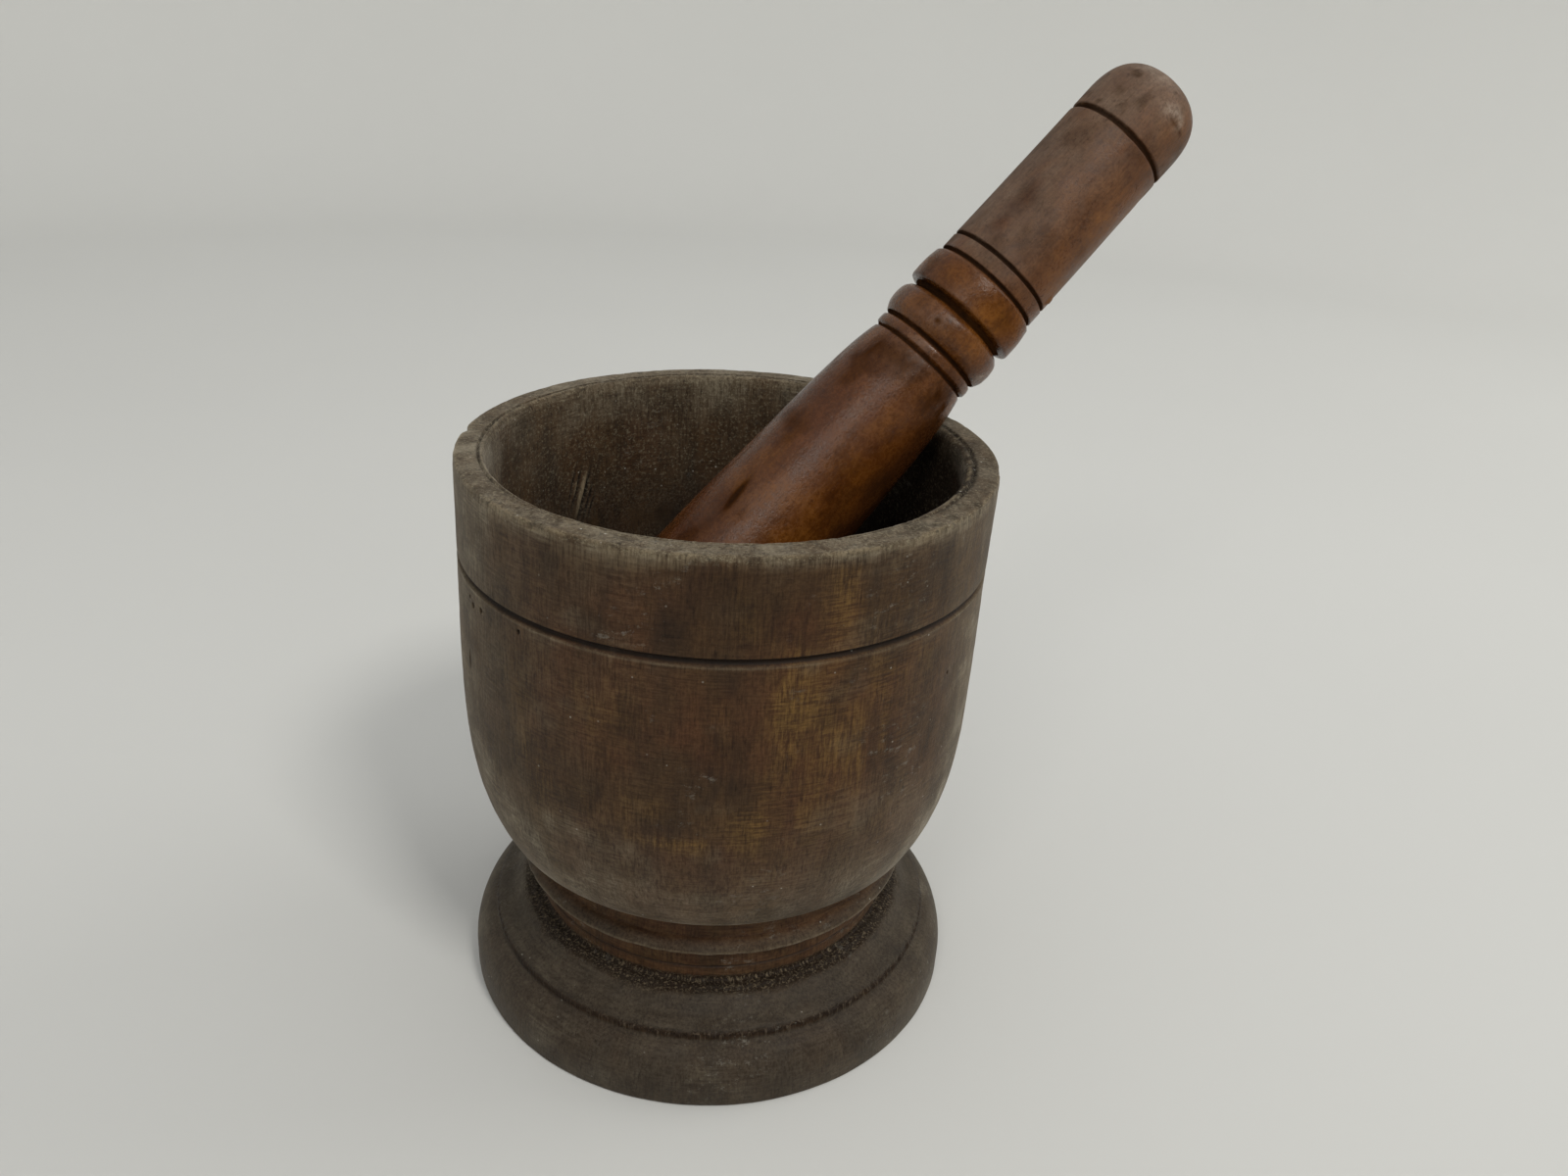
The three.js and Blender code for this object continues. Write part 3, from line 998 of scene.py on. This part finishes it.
def mortar_film(wood, crossed, blotches):
    """Dust and painted sheen: how thickly they lie, in clouds and along the lines."""
    clouds = wood.fade(wood.noise((48, 48, 36), detail=5), 0.32, 0.66, 0.5, 1.2)
    cloudy = wood.times(clouds, wood.fade(blotches, 0.35, 0.62, 0.6, 1.2))
    return wood.times("dust_and_sheen", cloudy, wood.fade(crossed, 0.38, 0.6, 0.65, 1.25))


def mortar_colour(wood, crossed, blotches, film):
    """Brown bands, reddened and worn golden, under a dusty film with painted sheen, and slaty dirt."""
    bands = wood.noise((95, 95, 34), detail=6, roughness=0.6, distortion=0.5)
    dark_brown, light_brown = (0.033, 0.0178, 0.0085), (0.074, 0.039, 0.0155)
    colour = wood.over(dark_brown, light_brown, wood.fade(bands, 0.36, 0.64))
    red, reddened = (0.092, 0.034, 0.0125), wood.fade(blotches, 0.38, 0.6, 0.25)
    colour = wood.over(colour, red, "red", reddened, 0.75)
    gold, worn = (0.168, 0.093, 0.024), wood.fade(crossed, 0.42, 0.58, 0.15)
    colour = wood.over(colour, gold, "ochre", worn, 0.95)
    dust_and_sheen = (0.165, 0.136, 0.092)
    colour = wood.over(colour, dust_and_sheen, film, 0.85)
    dark_slate, light_slate = (0.043, 0.0345, 0.025), (0.068, 0.056, 0.0405)
    slate = wood.over(dark_slate, light_slate, wood.fade(blotches, 0.35, 0.65))
    return wood.over(colour, slate, "slate", 0.85)


def mortar_wear(wood, colour, fibres, crumbs, ticks):
    """Grime and painted shade, torn crumbs, ticks along the step, and worn pale wood, which also paints
    the edge highlights.
    """
    # The grime colour is also painted shade, and the bare wood colour also paints the edge highlights.
    grime_and_painted_shade, torn = (0.01, 0.0065, 0.0045), (0.142, 0.108, 0.068)
    combed, bare_and_highlit = (0.11, 0.082, 0.055), (0.2, 0.155, 0.095)
    colour = wood.over(colour, grime_and_painted_shade, "dark", 0.92)
    colour = wood.over(colour, torn, "torn", crumbs, 0.9)
    colour = wood.over(colour, combed, "comb", ticks, 0.65)
    return wood.over(colour, bare_and_highlit, "pale", wood.fade(fibres, 0.4, 0.56, 0.45))


def rim_grain(wood, colour):
    """Pale flecks and dark pits in the rim's end grain."""
    fleck, pit = (0.26, 0.225, 0.15), (0.026, 0.021, 0.015)
    flecks = wood.fade(wood.noise(1000, detail=3, roughness=0.8), 0.54, 0.62)
    colour = wood.over(colour, fleck, "end_grain", flecks, 0.45)
    pits = wood.fade(wood.noise(620, roughness=0.65), 0.43, 0.36)
    return wood.over(colour, pit, "end_grain", pits, 0.6)


def scuffs_and_lint(wood, colour):
    """Pale scuffs in rubbed patches, and lint that has settled."""
    scuff, lint = (0.19, 0.175, 0.145), (0.44, 0.42, 0.36)
    scuffs = wood.fade(wood.noise((260, 260, 420), detail=6, roughness=0.8), 0.56, 0.66)
    rubbed = wood.fade(wood.noise(42, detail=3), 0.54, 0.64)
    colour = wood.over(colour, scuff, scuffs, rubbed, 0.55)
    settled = wood.times(wood.fade(wood.noise(60), 0.52, 0.6), 0.5)
    settled = wood.plus(settled, wood.times("end_grain", 0.35))
    return wood.over(colour, lint, wood.specks(250, 0.085), settled)


def mortar_material():
    """Dull old wood with the dusty film, dirt and wear that the mortar's masks ask for, and the painted
    sheen, shade and edge highlights they carry.
    """
    wood = Wood("mortar_wood_old")
    fibres = wood.noise((1500, 1500, 130), roughness=0.7)
    blotches = wood.noise((120, 120, 75), detail=6, roughness=0.6)
    skin = wood.noise(900, roughness=0.7)
    pores = wood.noise((1500, 1500, 240), detail=2)
    crumbs = wood.fade(wood.noise(1400, detail=3, roughness=0.75), 0.51, 0.6)
    ticks = wood.fade(wood.noise((1500, 1500, 160), detail=2), 0.53, 0.64)
    crossed = mortar_lines(wood, fibres)
    film = mortar_film(wood, crossed, blotches)

    colour = mortar_colour(wood, crossed, blotches, film)
    line_shade, skin_shade, pore_shade = (0.42, 0.37, 0.33), (0.45, 0.4, 0.36), (0.35, 0.3, 0.25)
    colour = wood.shade(colour, line_shade, wood.fade(crossed, 0.38, 0.56, 0.75, 0.0))
    colour = wood.shade(colour, skin_shade, wood.fade(skin, 0.36, 0.58, 0.6, 0.0))
    colour = wood.shade(colour, pore_shade, wood.fade(pores, 0.6, 0.7), 0.6)
    colour = mortar_wear(wood, colour, fibres, crumbs, ticks)
    colour = scuffs_and_lint(wood, rim_grain(wood, colour))

    rough = wood.fade(wood.plus(film, wood.times("end_grain", 0.3)), 0.0, 0.8, 0.55, 0.9)
    rough = wood.plus(rough, wood.fade(crossed, 0.38, 0.6, -0.08, 0.08))
    fine = wood.bump(crossed, 0.00022, 0.6)
    fine = wood.bump(pores, 0.00012, 0.4, fine)
    fine = wood.bump(skin, 0.0002, 0.5, fine)
    fine = wood.bump(wood.times("torn", crumbs), 0.00045, 0.8, fine)
    fine = wood.bump(wood.times("comb", ticks), 0.0005, 0.8, fine)
    veil = wood.times(wood.plus(film, wood.times("slate", 0.25)), 0.2)
    veil = wood.times(wood.plus(veil, 0.02), wood.less("dark"))
    sheen = {"Sheen Weight": veil, "Sheen Roughness": 0.5, "Sheen Tint": (0.95, 0.88, 0.74, 1.0)}
    return wood.finish(colour, rough, fine, **sheen, **{"Specular IOR Level": 0.14})


def pestle_colour(wood, blotches, film):
    """Brown bands, reddened and worn orange in blotches, under a dusty film with painted sheen."""
    bands = wood.noise((120, 120, 60), detail=6, roughness=0.65, distortion=1.0)
    dark_brown, light_brown = (0.064, 0.02, 0.0037), (0.118, 0.0395, 0.0066)
    colour = wood.over(dark_brown, light_brown, wood.fade(bands, 0.36, 0.64))
    red, reddened = (0.125, 0.031, 0.004), wood.fade(blotches, 0.34, 0.62, 0.3)
    colour = wood.over(colour, red, "red", reddened, 0.55)
    orange, dust_and_sheen = (0.2, 0.072, 0.009), (0.18, 0.126, 0.088)
    colour = wood.over(colour, orange, "ochre", wood.fade(blotches, 0.36, 0.62), 0.85)
    return wood.over(colour, dust_and_sheen, film, 0.8)


def pestle_material():
    """Hand-polished orange-brown wood, dusty towards its ends."""
    wood = Wood("pestle_wood_polished")
    fibres = wood.noise((1700, 1700, 150), roughness=0.6)
    blotches = wood.noise((150, 150, 110), detail=6, roughness=0.65)
    skin = wood.noise(800, detail=5, roughness=0.75)
    pores = wood.noise((1500, 1500, 700), detail=2)
    film = wood.times("dust_and_sheen", wood.fade(blotches, 0.34, 0.64, 0.6, 1.15))

    colour = pestle_colour(wood, blotches, film)
    line_shade, skin_shade, pore_shade = (0.55, 0.47, 0.42), (0.52, 0.45, 0.4), (0.35, 0.28, 0.22)
    colour = wood.shade(colour, line_shade, wood.fade(fibres, 0.38, 0.56, 0.32, 0.0))
    colour = wood.shade(colour, skin_shade, wood.fade(skin, 0.38, 0.56, 0.65, 0.0))
    colour = wood.shade(colour, pore_shade, wood.fade(pores, 0.62, 0.7), 0.55)
    # The grime colour also paints the shade down the head's sides and shoulder.
    scuff, grime_and_painted_shade = (0.36, 0.3, 0.24), (0.014, 0.0075, 0.0045)
    colour = wood.over(colour, scuff, "pale", wood.fade(skin, 0.4, 0.6, 0.3, 0.9))
    colour = wood.over(colour, grime_and_painted_shade, "dark", 0.88)

    rough = wood.fade(film, 0.0, 0.6, 0.17, 0.66)
    rough = wood.plus(rough, wood.fade(blotches, 0.35, 0.65, -0.05, 0.08))
    rough = wood.plus(rough, wood.fade(skin, 0.38, 0.62, -0.02, 0.16))
    fine = wood.bump(fibres, 0.0001, 0.4)
    fine = wood.bump(pores, 0.00014, 0.5, fine)
    fine = wood.bump(skin, 0.0002, 0.6, fine)
    fine = wood.bump(wood.noise(260, detail=3), 0.0003, 0.25, fine)
    clean = wood.less(wood.fade("dark", 0.1, 0.7))
    shine = wood.times(clean, "polish", 0.45)
    tint = {"Specular IOR Level": shine, "Specular Tint": (1.0, 0.92, 0.86, 1.0)}
    return wood.finish(colour, rough, fine, **tint)


def paper_material():
    """Plain pale paper for the floor, with the faintest unevenness."""
    paper = Wood("pale_paper")
    paper.place = paper.add("ShaderNodeTexCoord", {}, "Object")
    colour = paper.over((0.6, 0.6, 0.575), (0.63, 0.63, 0.605), paper.noise(2.5, detail=2))
    return paper.finish(colour, 0.9, paper.bump(paper.noise(900, detail=2), 0.00005, 0.2))


# ---- stage, light and camera


def build_stage():
    """A round sweep: flat floor that curves up into a plain wall on every side."""
    flat, bend, wall = 1300.0, 500.0, 800.0
    outline = joined(
        line((0, 0), (flat, 0), 200),
        arc((flat, bend), (bend, bend), -90, 0, 60),
        line((flat + bend, bend), (flat + bend, bend + wall), 250),
    )
    segments = 96
    angle = np.arange(segments) * 2 * math.pi / segments
    work = bmesh.new()
    rings = []
    for radius, height in outline[1:] * MM:
        corners = [(radius * math.cos(a), radius * math.sin(a), height) for a in angle]
        rings.append([work.verts.new(corner) for corner in corners])
    centre = work.verts.new((0, 0, 0))
    for i in range(segments):
        after = (i + 1) % segments
        work.faces.new([centre, rings[0][i], rings[0][after]])
        for low, high in zip(rings, rings[1:]):
            work.faces.new([low[i], high[i], high[after], low[after]])
    mesh = bpy.data.meshes.new("paper_sweep")
    work.to_mesh(mesh)
    work.free()
    mesh.shade_smooth()
    mesh.materials.append(paper_material())
    floor = bpy.data.objects.new("paper_sweep", mesh)
    bpy.context.scene.collection.objects.link(floor)


def soft_light(name, place, size, power, colour):
    """A square area light that points at the middle of the mortar."""
    data = bpy.data.lights.new(name, "AREA")
    data.shape = "SQUARE"
    data.size = size
    data.energy = power
    data.color = colour
    lamp = bpy.data.objects.new(name, data)
    lamp.location = place
    aim = Vector((0, 0, 0.1)) - Vector(place)
    lamp.rotation_euler = aim.to_track_quat("-Z", "Y").to_euler()
    bpy.context.scene.collection.objects.link(lamp)


def build_light():
    """An even pale sky and three soft lights."""
    world = bpy.data.worlds.new("pale_room")
    world.use_nodes = True
    sky = world.node_tree.nodes["Background"]
    sky.inputs["Color"].default_value = (0.97, 0.98, 1.0, 1.0)
    sky.inputs["Strength"].default_value = 0.585
    bpy.context.scene.world = world
    soft_light("key", (1.1, -1.55, 2.4), size=0.62, power=34.0, colour=(1.0, 0.98, 0.94))
    soft_light("fill", (-0.95, -2.4, 2.1), size=0.75, power=15.0, colour=(1.0, 0.98, 0.95))
    soft_light("side", (1.6, 0.5, 1.1), size=1.0, power=9.0, colour=(1.0, 0.99, 0.96))


def build_camera():
    """The reference view: a short step back, looking down, tipped a little."""
    heading, pitch, roll = math.radians(3.24), math.radians(25.99), math.radians(3.25)
    place = Vector((0.0, -0.3322, 0.2915))
    ahead = Vector((math.sin(heading), math.cos(heading), 0))
    forward = ahead * math.cos(pitch) - Vector((0, 0, math.sin(pitch)))
    level = Vector((math.cos(heading), -math.sin(heading), 0))
    over = level.cross(forward)
    right = level * math.cos(roll) + over * math.sin(roll)
    up = over * math.cos(roll) - level * math.sin(roll)
    turn = Matrix((right, up, -forward)).transposed().to_4x4()
    data = bpy.data.cameras.new("camera")
    data.sensor_width = 36.0
    data.lens = 28.4
    data.clip_start = 0.01
    camera = bpy.data.objects.new("camera", data)
    camera.matrix_world = Matrix.Translation(place) @ turn
    bpy.context.scene.collection.objects.link(camera)
    bpy.context.scene.camera = camera


build_mortar()
build_pestle()
build_stage()
build_light()
build_camera()
bpy.context.scene.view_settings.view_transform = "Standard"
